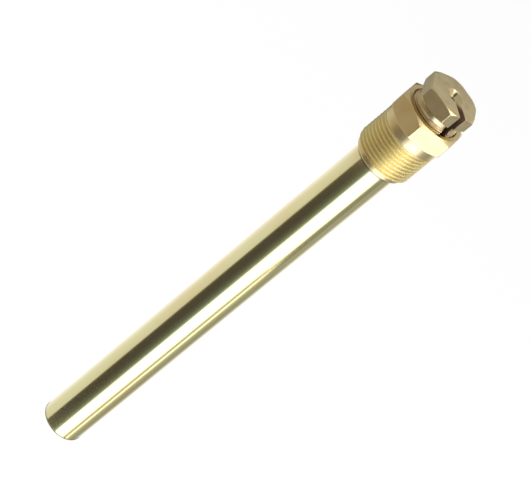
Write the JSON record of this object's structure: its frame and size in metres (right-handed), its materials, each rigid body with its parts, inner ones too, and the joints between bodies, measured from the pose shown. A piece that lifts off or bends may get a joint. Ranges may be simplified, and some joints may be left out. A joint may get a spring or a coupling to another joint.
{
  "type": "thermowell",
  "caption": "Closed brass immersion pocket with a hexagon body, parallel pipe thread and a slotted gland screw that grips a capillary tube.",
  "frame": {"origin": "on the pocket's axis at the underside of the body's hexagon, where the body's stem meets the pipe boss", "axes": "+Z along the pocket's axis, out of its mouth towards the gland screw's head; the closed tip is at -Z; two corners of the body's hexagon lie on the Y axis"},
  "size_m": [0.027, 0.0312, 0.2422],
  "materials": {
    "polished_brass": "polished",
    "turned_brass": "fine turned",
    "dull_brass": "satin",
    "packing_rubber": "matt"
  },
  "bodies": {
    "well": {"tube": "polished_brass", "end_plug": "polished_brass", "well_body": "turned_brass", "lower_washer": "dull_brass", "packing": "packing_rubber"},
    "follower": {"upper_washer": "dull_brass"},
    "gland": {"gland_screw": "dull_brass"}
  },
  "joints": [
    {"name": "gland_travel", "type": "slide", "parent": "well", "child": "follower", "axis": [0, 0, 1], "range_m": [-0.0025, 0], "deforming": ["packing"]},
    {"name": "gland_turn", "type": "hinge", "parent": "follower", "child": "gland", "pos_m": [0, 0, 0], "axis": [0, 0, 1], "range_deg": [-900, 0]}
  ],
  "couplings": [
    {"joint": "gland_turn", "follows": "gland_travel", "rad_per_m": 6283.2}
  ]
}
